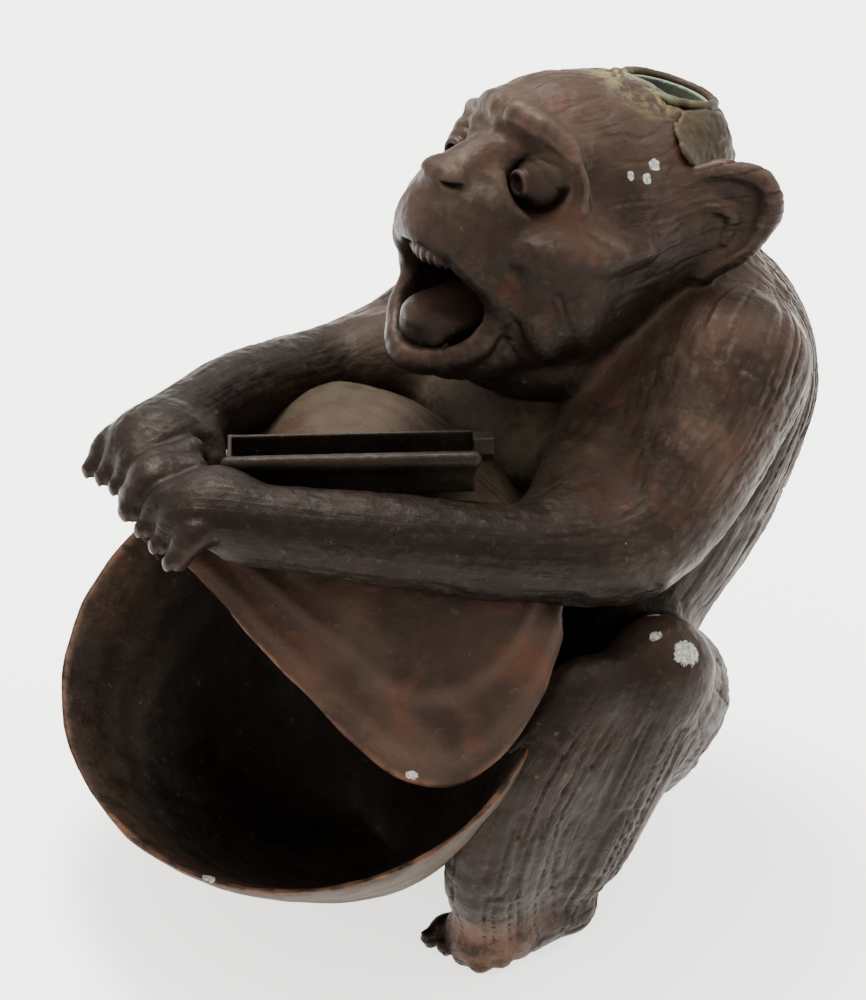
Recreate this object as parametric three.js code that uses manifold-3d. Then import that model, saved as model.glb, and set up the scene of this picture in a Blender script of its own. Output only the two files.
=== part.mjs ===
// Smoker's figure in cast white metal: a monkey squats behind an open clam shell and holds its
// upper valve down with both hands. The lower valve is the ash bowl, a sheet channel on the upper
// valve holds a matchbox on edge, and a tube socket on the crown takes a candle. Nothing moves.
// +X is the monkey's left, -Y is where it faces, +Z is up, and z = 0 is the table.
import * as THREE from "three";
import { mergeVertices } from "three/addons/utils/BufferGeometryUtils.js";
import Module from "manifold-3d";

const wasm = await Module();
wasm.setup();

// ---- driving dimensions -------------------------------------------------------------------------
// The figure is drawn in units of its matchbox: the channel is 43.2 units long inside, and takes a
// box 57 mm long. Every length below is in units, from the middle of the toes' line on the table.
const MATCHBOX_MM = 57;
const CHANNEL_INSIDE = 43.2;
const MM_PER_UNIT = MATCHBOX_MM / CHANNEL_INSIDE;
const GAP = 0.34 / MM_PER_UNIT;
const BOX_MIDDLE = { x: 0, y: 17.81 };

const BOWL = { halfWidth: 60.8, halfDepth: 46.3, tilt: 0.468, y: -16.7, z: 50.8 };
const BOWL_FLOOR = { y: 2, z: -1.2 };
const DOME_TOP = { y: 4, z: 96.6, curve: 2.6 };
const SHELL_WALL = 2.2;
const CAST_WALL = 3.4;

const SOCKET = { y: 66, z: 149, tilt: 0.35, radius: 8.7, bore: 7.9, depth: 9, floor: 0.9 };
const RIM = { radius: 8.95, bead: 1.0 };
const COLLAR = { foot: 15.6, top: 12.6, height: 11.5 };
const CHANNEL = { wall: 0.8, width: 9.8, height: 7.2, turn: 0.53, x: 14.4, y: -12.6, z: 97.5 };
const EYE = { x: 9.8, y: 29.2, z: 144, radius: 4.8 };
const FACE = { tip: -0.035, turn: 0.09, pivot: [0, 48, 130] };

const TAU = Math.PI * 2;
const SIDE = new THREE.Vector3(1, 0, 0);
const UP = new THREE.Vector3(0, 0, 1);
const at = (x, y, z) => new THREE.Vector3(x, y, z);

// ---- making and cutting solids ------------------------------------------------------------------
function solid(geometry) {
  geometry.deleteAttribute("normal");
  geometry.deleteAttribute("uv");
  const merged = mergeVertices(geometry, 1e-4);
  const vertProperties = new Float32Array(merged.attributes.position.array);
  const triVerts = new Uint32Array(merged.index.array);
  const made = new wasm.Manifold(new wasm.Mesh({ numProp: 3, vertProperties, triVerts }));
  if (made.volume() > 0) {
    return made;
  }
  return new wasm.Manifold(new wasm.Mesh({ numProp: 3, vertProperties, triVerts: triVerts.reverse() }));
}

const join = (...parts) => parts.reduce((whole, part) => whole.add(part));
const cut = (whole, ...tools) => tools.reduce((left, tool) => left.subtract(tool), whole);
const mirrored = (part) => part.mirror([1, 0, 0]);

function ellipsoid(centre, radii, grow = 0, turn = [0, 0, 0], detail = 14) {
  const ball = new THREE.SphereGeometry(1, detail, Math.round(detail * 0.7));
  ball.rotateX(Math.PI / 2);
  ball.scale(radii[0] + grow, radii[1] + grow, radii[2] + grow);
  ball.rotateX(turn[0]).rotateY(turn[1]).rotateZ(turn[2]);
  return solid(ball.translate(centre.x, centre.y, centre.z));
}

function block(low, high) {
  const size = high.clone().sub(low);
  const middle = high.clone().add(low).multiplyScalar(0.5);
  return solid(new THREE.BoxGeometry(size.x, size.y, size.z).translate(middle.x, middle.y, middle.z));
}

function eased(values, u) {
  const place = u * (values.length - 1);
  const index = Math.min(Math.floor(place), values.length - 2);
  const part = THREE.MathUtils.smoothstep(place - index, 0, 1);
  return values[index] * (1 - part) + values[index + 1] * part;
}

// A round-ended limb: a capsule bent along a curve. wide holds its radii along the side axis and
// deep the radii square to that, from the first point to the last.
function limb(points, wide, { deep = wide, grow = 0, side = SIDE, around = 12, rings = 6 } = {}) {
  const curve = new THREE.CatmullRomCurve3(points, false, "centripetal");
  const capsule = new THREE.CapsuleGeometry(1, 1, 4, around, rings);
  const place = capsule.attributes.position;
  for (let i = 0; i < place.count; i++) {
    const u = THREE.MathUtils.clamp(place.getY(i) + 0.5, 0, 1);
    const past = place.getY(i) + 0.5 - u;
    const along = curve.getTangent(u);
    const across = side.clone().addScaledVector(along, -side.dot(along)).normalize();
    const third = new THREE.Vector3().crossVectors(across, along);
    const w = eased(wide, u) + grow;
    const d = eased(deep, u) + grow;
    const p = curve.getPoint(u);
    p.addScaledVector(across, place.getX(i) * w);
    p.addScaledVector(third, place.getZ(i) * d);
    p.addScaledVector(along, past * Math.min(w, d));
    place.setXYZ(i, p.x, p.y, p.z);
  }
  return solid(capsule);
}

// A sphere's grid laid over two surfaces that share a rim: low(turn, s) below and high(turn, s)
// above, where s runs from 0 at each pole to 1 at the rim.
function lens(low, high, around = 40, rings = 20) {
  const ball = new THREE.SphereGeometry(1, around, rings);
  const place = ball.attributes.position;
  for (let i = 0; i < place.count; i++) {
    const down = Math.acos(THREE.MathUtils.clamp(place.getY(i), -1, 1)) / Math.PI;
    const turn = Math.atan2(place.getZ(i), place.getX(i));
    const s = 1 - Math.abs(down - 0.5) * 2;
    const p = down > 0.5 ? low(turn, s) : high(turn, s);
    place.setXYZ(i, p.x, p.y, p.z);
  }
  return solid(ball);
}

// ---- the clam shell -----------------------------------------------------------------------------
const MARGIN_LEFT = [
  at(0, 27, 80), at(30, 23, 78), at(49, 11, 74), at(56.5, -3, 63), at(55, -14, 55.5),
  at(46, -22, 53.5), at(35, -28, 60), at(22, -37.5, 75), at(10, -44.5, 87), at(0, -46.5, 91),
];
const MARGIN_RIGHT = MARGIN_LEFT.slice(1, -1).reverse().map((p) => at(-p.x, p.y, p.z));
const MARGIN = new THREE.CatmullRomCurve3([...MARGIN_LEFT, ...MARGIN_RIGHT], true, "centripetal");

// inset moves a surface inwards: it is negative for a space that holds the valve with room to spare.
function bowlSurface(turn, s, inset) {
  const forward = (BOWL.halfDepth - inset) * Math.sin(turn);
  const rimX = (BOWL.halfWidth - inset) * Math.cos(turn);
  const rimY = BOWL.y - forward * Math.cos(BOWL.tilt);
  const rimZ = BOWL.z - forward * Math.sin(BOWL.tilt);
  const reach = s ** 0.95;
  const rise = s ** 1.5;
  const floorZ = BOWL_FLOOR.z + inset;
  return at(rimX * reach, BOWL_FLOOR.y + (rimY - BOWL_FLOOR.y) * reach, floorZ + (rimZ - floorZ) * rise);
}

function bowlLid(turn, s, inset) {
  const edge = bowlSurface(turn, 1, inset);
  return at(edge.x * s, BOWL.y + (edge.y - BOWL.y) * s, BOWL.z + (edge.z - BOWL.z) * s);
}

function domeSurface(turn, s, inset) {
  const edge = MARGIN.getPoint((turn / TAU + 1) % 1);
  const out = at(edge.x, edge.y + 10, 0).normalize();
  edge.addScaledVector(out, -inset * 0.9);
  edge.z -= inset * 0.35;
  const topZ = DOME_TOP.z - inset;
  const drop = s ** DOME_TOP.curve;
  return at(edge.x * s, DOME_TOP.y + (edge.y - DOME_TOP.y) * s, topZ + (edge.z - topZ) * drop);
}

function domeFloor(turn, s, inset) {
  const edge = domeSurface(turn, 1, inset);
  return at(edge.x * s, DOME_TOP.y + (edge.y - DOME_TOP.y) * s, 76 + (edge.z - 76) * s);
}

// The wall thins to half at the rim, where its two faces meet in a rounded edge.
const shellWall = (s) => SHELL_WALL * (1 - 0.5 * s ** 12);
const rimInset = (s) => SHELL_WALL * 0.5 * s ** 12;

const ABOVE_TABLE = block(at(-120, -120, 0), at(120, 160, 260));

function lowerShell() {
  const bowl = lens((turn, s) => bowlSurface(turn, s, rimInset(s)),
    (turn, s) => bowlSurface(turn, s, shellWall(s)), 36, 16);
  return bowl.intersect(ABOVE_TABLE);
}

function upperShell() {
  return lens((turn, s) => domeSurface(turn, s, shellWall(s)),
    (turn, s) => domeSurface(turn, s, rimInset(s)), 36, 16);
}

// The room that each valve takes up, hollow and all, with grow to spare.
const bowlSpace = (grow) => lens((t, s) => bowlSurface(t, s, -grow), (t, s) => bowlLid(t, s, -grow), 36, 16);

function domeSpace(grow) {
  const room = lens((t, s) => domeFloor(t, s, -grow), (t, s) => domeSurface(t, s, -grow), 36, 16);
  return join(room, room.translate([0, 0, -1]));
}

// ---- the monkey ---------------------------------------------------------------------------------
function torsoForm(grow) {
  const spine = [
    at(0, 26, 4), at(0, 33, 28), at(0, 44, 52), at(0, 59, 74),
    at(0, 68.5, 92), at(0, 67, 107), at(0, 61, 118),
  ];
  const wide = [26, 31, 32, 34, 34, 26, 16];
  const deep = [19, 24, 26, 27, 25, 18, 12];
  const chest = ellipsoid(at(0, 33, 86), [30, 16, 13], grow, [0.5, 0, 0]);
  return join(limb(spine, wide, { deep, grow, around: 18, rings: 9 }), chest);
}

// The face is turned a little to the monkey's left, and tipped a little to its right.
function onFace(part) {
  const [x, y, z] = FACE.pivot;
  const degrees = [0, FACE.tip * 360 / TAU, FACE.turn * 360 / TAU];
  return part.translate([-x, -y, -z]).rotate(degrees).translate([x, y, z]);
}

function faceForm(grow) {
  const jaw = [at(-13, 28, 120), at(-9.8, 17, 113.5), at(0, 12, 111), at(9.8, 17, 113.5), at(13, 28, 120)];
  const lip = [
    at(-12.5, 18, 123), at(-10.5, 12.5, 116), at(0, 5.5, 112.5), at(10.5, 12.5, 116), at(12.5, 18, 123),
  ];
  const nose = [at(0, 31, 149), at(0, 22, 148), at(0, 14.5, 146.5)];
  const leftBrow = [at(3.6, 30.2, 154.1), at(7.6, 29.8, 153.2), at(11.4, 32.2, 151), at(13.4, 35.5, 149.5)];
  const rightBrow = [at(-2.6, 31.6, 153.6), at(-6.5, 32.2, 152.4), at(-10.5, 34.5, 149.4)];
  return onFace(join(
    ellipsoid(at(0, 23.3, 139), [12.6, 16.6, 9.4], grow, [0.2, 0, 0]),
    ellipsoid(at(0.5, 38, 146.4), [11, 10, 10], grow),
    ellipsoid(at(13.5, 33, 125), [10, 14, 15], grow),
    ellipsoid(at(-13.5, 33, 125), [10, 14, 15], grow),
    ellipsoid(at(0, 27, 111), [13.5, 15, 9], grow, [-0.2, 0, 0]),
    ellipsoid(at(0, 34, 107), [18, 15, 9], grow),
    limb(jaw, [7, 5.2, 4.8, 5.2, 7], { grow, side: UP, around: 10, rings: 8 }),
    limb(lip, [2.6, 3, 3, 3, 2.6], { grow, side: UP, around: 10, rings: 10 }),
    limb(nose, [3.6, 3.4, 3.8], { grow, around: 8, rings: 3 }),
    limb(leftBrow, [2.2, 2.8, 2.3, 1.4], { grow, around: 8, rings: 4 }),
    limb(rightBrow, [2.2, 2.3, 1.6], { grow, around: 8, rings: 4 }),
  ));
}

function headForm(grow) {
  return join(
    ellipsoid(at(0, 48, 130), [23.5, 25, 25.5], grow, [0, 0, 0], 18),
    ellipsoid(at(0, 40.5, 140.5), [17, 13.5, 16], grow),
    limb([at(0, 42, 118), at(0, 52, 104)], [19, 20], { grow, rings: 2 }),
    faceForm(grow),
  );
}

function neckHollow() {
  return limb([at(0, 52, 130), at(0, 52, 112), at(0, 56, 96)], [15, 12, 12], { around: 12, rings: 3 });
}

function torsoCasting() {
  const belly = [at(0, 28, -10), at(0, 34, 28), at(0, 45, 52), at(0, 60, 74), at(0, 67, 96)];
  const hollow = limb(belly, [19, 25, 27, 29, 27].map((r) => r - 1),
    { deep: [14, 19, 21, 22, 20], around: 12, rings: 5 });
  const wall = cut(hollow, bowlSpace(CAST_WALL), domeSpace(CAST_WALL));
  return cut(torsoForm(0).intersect(ABOVE_TABLE), bowlSpace(GAP), domeSpace(GAP), wall, neckHollow());
}

const eyeForm = (grow) => ellipsoid(at(EYE.x, EYE.y, EYE.z), [EYE.radius, EYE.radius, EYE.radius], grow);

function eyeBall() {
  const front = at(EYE.x - 0.5, EYE.y - EYE.radius - 0.4, EYE.z + 0.6);
  const pupil = ellipsoid(front, [1.5, 1.7, 1.5], 0, [0, 0, 0], 10);
  return cut(eyeForm(0), pupil);
}

function tongueForm(grow) {
  return onFace(limb([at(0, 30, 117), at(0, 20, 119), at(0, 9.5, 116.5)], [6.4, 7.8, 6.4],
    { deep: [2.6, 3.2, 2.6], grow }));
}

function armForm(grow) {
  const arm = [
    at(29, 62, 105), at(37, 49, 96), at(42, 31, 84.5),
    at(38, 10, 86.5), at(30, -12, 92.5), at(17, -36, 97.5),
  ];
  const parts = [
    limb(arm, [14, 12.5, 10.5, 9, 8.4, 7.2], { grow, rings: 8 }),
    limb([at(28, 58, 105), at(24, 41, 94), at(33, 22, 87)], [13, 12, 9], { grow, rings: 4 }),
    ellipsoid(at(12, -40, 100.2), [8.4, 9.4, 6.2], grow, [0, 0, 0.35], 12),
  ];
  [2.4, 7.4, 12.6, 17.6].forEach((x, i) => {
    const drop = i * 0.8;
    const finger = [at(x + 0.8, -38, 102 - drop), at(x, -47, 101.2 - drop), at(x - 0.2, -50, 97.8 - drop)];
    parts.push(limb(finger, [2.5, 3, 2.4], { grow, around: 6, rings: 3 }));
  });
  return join(...parts);
}

const RIGHT_ARM_SHIFT = [0, 0, 1.2];
const rightArmForm = (grow) => mirrored(armForm(grow)).translate(RIGHT_ARM_SHIFT);

function legForm(grow) {
  const thigh = [at(25, 42, 30), at(40, 38, 47), at(50.5, 30.5, 60)];
  const shin = [at(53, 29.5, 62.5), at(50.5, 23, 46), at(45.5, 19, 24), at(42, 17, 9)];
  const calf = [at(52, 13, 61), at(50.5, 3, 47), at(46, 0, 29), at(41, 3, 11)];
  const foot = [at(42.5, 20, 6), at(41, 9, 6), at(38.5, -2, 4)];
  const parts = [
    limb(thigh, [16, 14, 9.6], { grow }),
    limb(shin, [9, 9, 9, 7.5], { deep: [10, 14.5, 13, 8.5], grow, rings: 6 }),
    limb(calf, [6.5, 7.5, 8, 7.5], { deep: [9.5, 12.5, 12, 9.5], grow, rings: 6 }),
    limb(foot, [7.4, 7.6, 7], { deep: [6.4, 6, 4.2], grow }),
  ];
  [32.5, 36.4, 40.2, 44].forEach((x, i) => {
    const toe = [at(x + 1, 0, 3.4), at(x - 0.6, -7 + i * 1.1, 2.4)];
    parts.push(limb(toe, [2.5, 2.1], { grow, around: 6, rings: 1 }));
  });
  return join(...parts);
}

function ear() {
  const leaf = limb([at(19, 55, 130.5), at(24.5, 61, 133), at(29.5, 67.5, 135.5)], [10.5, 10, 5],
    { deep: [3, 2.8, 2.2], side: UP, rings: 4 });
  const bowl = ellipsoid(at(25.6, 58.8, 133.4), [6.4, 3.2, 7], 0, [0, 0, 0.5], 12);
  return cut(leaf, bowl);
}

// ---- what sits on the crown ---------------------------------------------------------------------
// Parts of the socket are turned about their own axis and then leaned back onto the crown.
function onCrown(geometry) {
  return solid(geometry.rotateX(TAU / 4).rotateX(-SOCKET.tilt).translate(0, SOCKET.y, SOCKET.z));
}

function turned(profile, around = 24) {
  return onCrown(new THREE.LatheGeometry(profile.map(([r, h]) => new THREE.Vector2(r, h)), around));
}

function socketSpace(grow) {
  const r = SOCKET.radius + grow;
  const rim = RIM.radius + RIM.bead + grow;
  const seat = -RIM.bead - grow;
  const foot = -SOCKET.depth - grow;
  return turned([[0, foot], [r, foot], [r, seat], [rim, seat], [rim, 9], [0, 9]]);
}

function socketCup() {
  const { radius, bore, depth, floor } = SOCKET;
  return turned([[0, -depth], [radius, -depth], [radius, -RIM.bead - GAP], [bore, -RIM.bead - GAP],
    [bore, floor - depth], [0, floor - depth]]);
}

function socketRim() {
  const bead = [];
  for (let i = 0; i <= 8; i++) {
    const a = i / 8 * TAU;
    bead.push([RIM.radius + RIM.bead * Math.cos(a), RIM.bead * Math.sin(a)]);
  }
  return turned(bead);
}

function collarForm(grow) {
  const top = -RIM.bead - GAP + grow;
  return turned([[0, -COLLAR.height - grow], [COLLAR.foot + grow, -COLLAR.height - grow],
    [COLLAR.top + grow, -3], [10.8 + grow, top], [0, top]]);
}

function crownPatch() {
  const flap = new THREE.BoxGeometry(8.5, 1.1, 7, 4, 1, 3);
  flap.rotateX(0.25).rotateZ(1.15).translate(12.6, 66.5, 139.6);
  return solid(flap);
}

// ---- the matchbox channel, in its own frame: +Y along it, z = 0 under its floor ------------------
function channelProfile() {
  const { wall, width, height } = CHANNEL;
  const half = width / 2;
  const outline = new THREE.Shape();
  outline.moveTo(-half, 0);
  outline.lineTo(half, 0);
  outline.lineTo(half, height - 1.2);
  outline.absarc(half + 0.1, height - 0.5, 0.9, -TAU / 4, TAU / 4, false);
  outline.lineTo(half - wall, height + 0.4);
  outline.lineTo(half - wall, wall);
  outline.lineTo(wall - half, wall);
  outline.lineTo(wall - half, height);
  outline.lineTo(-half, height);
  return outline;
}

function channelForm() {
  const { wall, width, height } = CHANNEL;
  const length = CHANNEL_INSIDE + wall;
  const along = { depth: length, bevelEnabled: false, curveSegments: 5 };
  const trough = new THREE.ExtrudeGeometry(channelProfile(), along);
  trough.rotateX(TAU / 4).translate(0, length / 2, 0);
  const end = block(at(-width / 2, -length / 2, 0), at(width / 2, wall - length / 2, height));
  return join(solid(trough), end);
}

function onDome(part) {
  return part.rotate([0, 0, -CHANNEL.turn * 360 / TAU]).translate([CHANNEL.x, CHANNEL.y, CHANNEL.z]);
}

function channelSpace(grow) {
  const half = (CHANNEL_INSIDE + CHANNEL.wall) / 2 + grow;
  const side = CHANNEL.width / 2 + 1 + grow;
  return onDome(block(at(-CHANNEL.width / 2 - grow, -half, -grow), at(side, half, 20)));
}

function endTab() {
  const nut = new THREE.CylinderGeometry(2.5, 2.5, 3.2, 6);
  const end = (CHANNEL_INSIDE + CHANNEL.wall) / 2 + GAP + 1.6;
  return onDome(solid(nut.translate(-1.8, end, 5.4)));
}

// ---- the assembly -------------------------------------------------------------------------------
const figure = new THREE.Group();

function add(name, part, colour, roughness = 0.5, metalness = 0.6) {
  const mesh = part.getMesh();
  const geometry = new THREE.BufferGeometry();
  const place = new Float32Array(mesh.vertProperties.length);
  for (let i = 0; i < place.length; i += 3) {
    place[i] = (mesh.vertProperties[i] - BOX_MIDDLE.x) * MM_PER_UNIT;
    place[i + 1] = (mesh.vertProperties[i + 1] - BOX_MIDDLE.y) * MM_PER_UNIT;
    place[i + 2] = mesh.vertProperties[i + 2] * MM_PER_UNIT;
  }
  geometry.setAttribute("position", new THREE.BufferAttribute(place, 3));
  geometry.setIndex(new THREE.BufferAttribute(mesh.triVerts, 1));
  geometry.computeVertexNormals();
  const finish = new THREE.MeshStandardMaterial({ color: colour, roughness, metalness });
  const made = new THREE.Mesh(geometry, finish);
  made.name = name;
  figure.add(made);
}

const PATINA = 0x3a2620;
const SHELL_BROWN = 0x46332a;
const SHEET_BROWN = 0x41352c;
const SOCKET_BROWN = 0x5c5240;

const shells = [bowlSpace(GAP), domeSpace(GAP * 1.5)];
const torsoSpace = join(torsoForm(0), torsoForm(GAP), torsoForm(GAP * 2.5));
const headSpace = headForm(GAP);
const arms = [armForm(GAP), rightArmForm(GAP)];

add("lower_shell", lowerShell(), SHELL_BROWN, 0.45);
add("upper_shell", upperShell(), SHELL_BROWN, 0.45);
add("torso_casting", torsoCasting(), PATINA);

const leftArm = cut(armForm(0), ...shells, torsoSpace, channelSpace(GAP));
const rightArm = cut(rightArmForm(0), ...shells, torsoSpace, channelSpace(GAP), armForm(GAP));
add("left_arm", leftArm, PATINA);
add("right_arm", rightArm, PATINA);

const standing = legForm(0).intersect(ABOVE_TABLE);
add("left_leg", cut(standing, ...shells, torsoSpace, ...arms), PATINA);
add("right_leg", cut(mirrored(standing), ...shells, torsoSpace, ...arms), PATINA);

const mouth = onFace(ellipsoid(at(0, 12.8, 124.4), [10.6, 16.5, 9.8], 0, [-0.3, 0, 0]));
const eyeSpaces = [onFace(eyeForm(GAP)), onFace(mirrored(eyeForm(GAP)))];
const head = cut(headForm(0), mouth, ...eyeSpaces, tongueForm(GAP), socketSpace(GAP), neckHollow(),
  torsoSpace, ...arms, ...shells);
add("head_casting", head, PATINA);
add("tongue", tongueForm(0), PATINA);
add("left_eye", onFace(eyeBall()), PATINA, 0.35);
add("right_eye", onFace(mirrored(eyeBall())), PATINA, 0.35);
add("left_ear", cut(onFace(ear()), headSpace, ...arms), PATINA);
add("right_ear", cut(onFace(mirrored(ear())), headSpace, ...arms), PATINA);

add("crown_collar", cut(collarForm(0), socketSpace(GAP), headSpace), SOCKET_BROWN, 0.6);
add("crown_patch", cut(crownPatch(), collarForm(GAP), headSpace), SOCKET_BROWN, 0.6);
add("socket_cup", socketCup(), SOCKET_BROWN, 0.5);
add("socket_rim", socketRim(), SOCKET_BROWN, 0.5);
const bead = ellipsoid(at(-1.5, 55.3, 153.8), [1.7, 1.7, 1.5], 0, [0, 0, 0], 12);
add("rim_solder_bead", cut(bead, headSpace, socketSpace(GAP)), SOCKET_BROWN, 0.5);

add("matchbox_channel", onDome(channelForm()), SHEET_BROWN, 0.45);
add("channel_end_tab", endTab(), SHEET_BROWN, 0.45);

export default figure;
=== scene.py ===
import bpy
import copy
import itertools
import math
import numpy as np
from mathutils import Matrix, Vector


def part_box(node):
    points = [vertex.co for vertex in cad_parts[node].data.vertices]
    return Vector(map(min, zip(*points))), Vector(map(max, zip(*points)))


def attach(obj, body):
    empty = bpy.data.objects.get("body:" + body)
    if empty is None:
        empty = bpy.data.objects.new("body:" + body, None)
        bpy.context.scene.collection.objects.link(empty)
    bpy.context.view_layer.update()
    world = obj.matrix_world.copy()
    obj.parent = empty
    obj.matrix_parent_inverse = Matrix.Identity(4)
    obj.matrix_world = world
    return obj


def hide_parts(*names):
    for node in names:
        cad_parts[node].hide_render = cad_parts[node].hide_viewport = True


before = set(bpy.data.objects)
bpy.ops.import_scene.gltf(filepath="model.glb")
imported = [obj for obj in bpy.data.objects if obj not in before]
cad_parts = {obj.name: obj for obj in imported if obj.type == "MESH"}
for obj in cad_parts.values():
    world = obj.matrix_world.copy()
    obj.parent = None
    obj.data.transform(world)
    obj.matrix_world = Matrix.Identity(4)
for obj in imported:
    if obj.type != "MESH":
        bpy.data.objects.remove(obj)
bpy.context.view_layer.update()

# ---- the drawing's unit and frame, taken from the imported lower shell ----
# The figure is sculpted in the same units as its CAD forms. The bowl's rim is 119.4 units wide, and
# its front edge lies 57.03 units ahead of the drawing's origin.
shell_low, shell_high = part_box("lower_shell")
UNIT = (shell_high.x - shell_low.x) / 119.4
ORIGIN_Y = shell_low.y + 57.03 * UNIT
COARSE = 1.15
FAR = 14.0
UP = np.array([0.0, 0.0, 1.0])
SIDE = np.array([1.0, 0.0, 0.0])
CORNERS = np.array(list(itertools.product((0, 1), repeat=3)))


def to_metres(points):
    return np.asarray(points, float) * UNIT + np.array([0.0, ORIGIN_Y, 0.0])


# ---- noise ----
def lattice(i, j, k, seed):
    n = (i * 374761393 + j * 668265263 + k * 2147483647 + seed * 1274126177) & 0xFFFFFFFF
    n = ((n ^ (n >> 13)) * 1274126177) & 0xFFFFFFFF
    return ((n ^ (n >> 16)) & 0xFFFF) / 32767.5 - 1.0


def noise(points, size, seed=0):
    """Value noise from -1 to 1 whose cells are size units across; size may differ by axis."""
    p = np.asarray(points, float) / np.asarray(size, float)
    base = np.floor(p).astype(np.int64)
    f = p - base
    f = f * f * (3 - 2 * f)
    total = np.zeros(len(p))
    for corner in CORNERS:
        x, y, z = np.where(corner, f, 1 - f).T
        total += x * y * z * lattice(*(base + corner).T, seed)
    return total


# ---- distance forms ----
def smooth_min(a, b, k):
    h = np.maximum(k - np.abs(a - b), 0) / k
    return np.minimum(a, b) - h * h * k / 4


def smooth_step(low, high, x):
    t = np.clip((x - low) / (high - low), 0, 1)
    return t * t * (3 - 2 * t)


def turn_matrix(turn):
    rx, ry, rz = turn
    cx, cy, cz = math.cos(rx), math.cos(ry), math.cos(rz)
    sx, sy, sz = math.sin(rx), math.sin(ry), math.sin(rz)
    about_x = np.array([[1, 0, 0], [0, cx, -sx], [0, sx, cx]])
    about_y = np.array([[cy, 0, sy], [0, 1, 0], [-sy, 0, cy]])
    about_z = np.array([[cz, -sz, 0], [sz, cz, 0], [0, 0, 1]])
    return about_z @ about_y @ about_x


def between(a, b, t_a, t_b, t):
    """The point on the line through a at t_a and b at t_b that is reached at t."""
    return (t_b - t) / (t_b - t_a) * a + (t - t_a) / (t_b - t_a) * b


def curve_points(points, per_span=5):
    """A centripetal Catmull-Rom curve through points, with the share of its length at each sample."""
    p = np.asarray(points, float)
    p = np.vstack([2 * p[0] - p[1], p, 2 * p[-1] - p[-2]])
    made, place = [], []
    for i in range(1, len(p) - 2):
        knots = [0.0]
        for j in range(3):
            knots.append(knots[-1] + max(np.linalg.norm(p[i + j] - p[i + j - 1]), 1e-6) ** 0.5)
        t0, t1, t2, t3 = knots
        for s in range(per_span + (i == len(p) - 3)):
            t = t1 + (t2 - t1) * s / per_span
            first = between(p[i - 1], p[i], t0, t1, t)
            middle = between(p[i], p[i + 1], t1, t2, t)
            last = between(p[i + 1], p[i + 2], t2, t3, t)
            early, late = between(first, middle, t0, t2, t), between(middle, last, t1, t3, t)
            made.append(between(early, late, t1, t2, t))
            place.append((i - 1 + s / per_span) / (len(p) - 3))
    return np.array(made), np.array(place)


def eased(values, u):
    """The list of values read at shares u of its length, with a soft step from each to the next."""
    values = np.asarray(values, float)
    place = np.clip(u, 0, 1) * (len(values) - 1)
    index = np.minimum(place.astype(int), len(values) - 2)
    part = smooth_step(0, 1, place - index)
    return values[index] * (1 - part) + values[index + 1] * part


def span_share(p, a, b):
    """How far along the span from a to b each point lies, from 0 to 1."""
    return np.clip((p - a) @ (b - a) / max((b - a) @ (b - a), 1e-9), 0, 1)


def unit(v):
    return np.array(v, float) / np.linalg.norm(v)


class Ball:
    """An ellipsoid, turned about its centre."""

    def __init__(self, centre, radii, turn=(0, 0, 0), k=3.0, cut=False):
        self.centre, self.radii, self.k, self.cut = np.array(centre, float), np.array(radii, float), k, cut
        self.turn = turn_matrix(turn)
        reach = np.abs(self.turn) @ self.radii
        self.low, self.high = self.centre - reach, self.centre + reach

    def distance(self, p):
        q = (p - self.centre) @ self.turn
        k0 = np.linalg.norm(q / self.radii, axis=1)
        k1 = np.linalg.norm(q / self.radii ** 2, axis=1)
        return k0 * (k0 - 1) / np.maximum(k1, 1e-9)


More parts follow.
